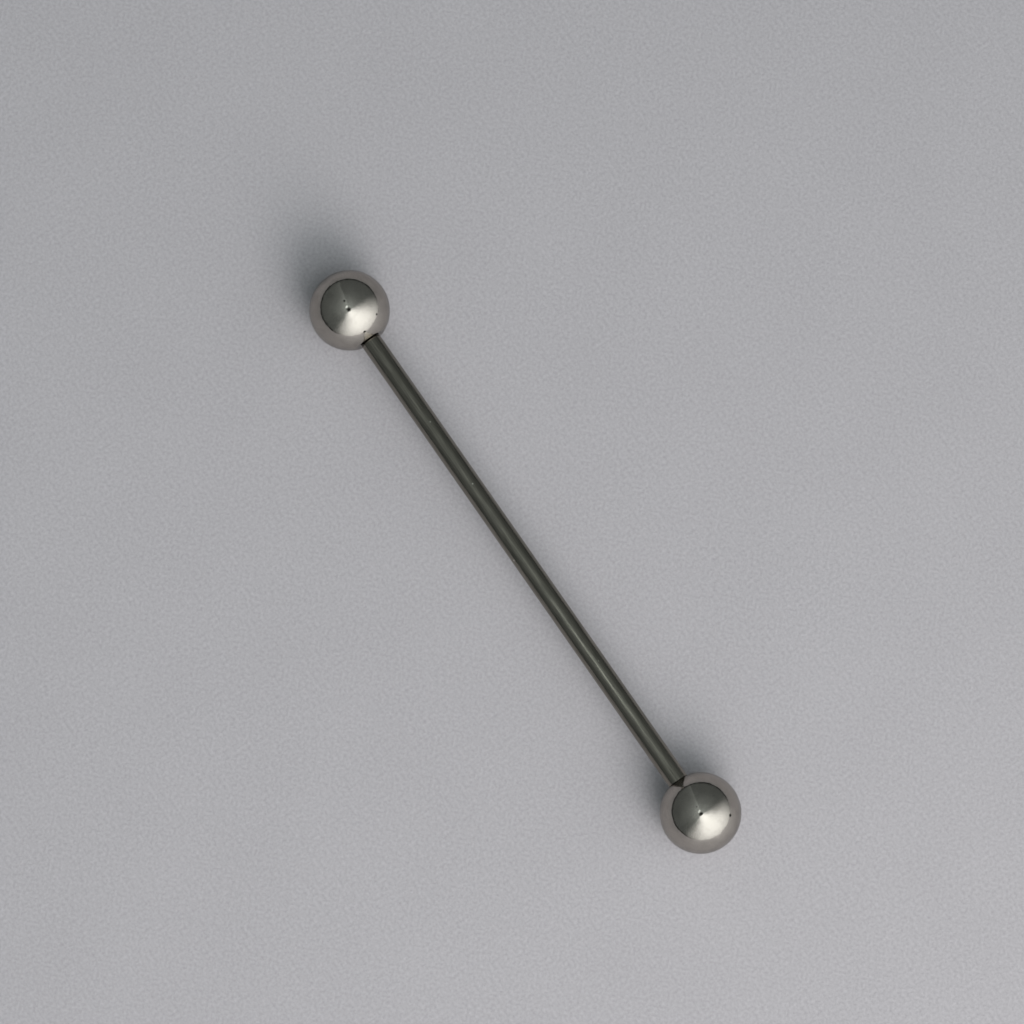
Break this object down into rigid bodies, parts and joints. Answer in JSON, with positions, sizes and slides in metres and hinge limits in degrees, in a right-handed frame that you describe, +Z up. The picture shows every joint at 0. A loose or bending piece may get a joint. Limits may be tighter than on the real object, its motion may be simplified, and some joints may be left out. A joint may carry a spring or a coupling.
{
  "type": "industrial barbell body piercing",
  "caption": "Straight round bar with a threaded stud on each end and a mirror-polished ball screwed on each stud, lying at rest.",
  "frame": {"origin": "under the middle of the bar, on the flat surface that the two balls rest on", "axes": "+X along the bar from the left ball to the right ball, +Z up, +Y to the far side; the part is round about a line through the balls' centres, 3 mm above the origin"},
  "size_m": [0.0516, 0.006, 0.006],
  "materials": {
    "bar_metal": "bare titanium, turned and finely polished, with faint lines round the bar",
    "ball_metal": "bare titanium, polished to a mirror, not plated"
  },
  "bodies": {
    "bar": {"bar": "bar_metal"},
    "ball_left": {"ball_left": "ball_metal"},
    "ball_right": {"ball_right": "ball_metal"}
  },
  "joints": [
    {"name": "ball_left_unscrew", "type": "slide", "parent": "bar", "child": "ball_left", "axis": [-1, 0, 0], "range_m": [0, 0.0025]},
    {"name": "ball_right_unscrew", "type": "slide", "parent": "bar", "child": "ball_right", "axis": [1, 0, 0], "range_m": [0, 0.0025]}
  ]
}
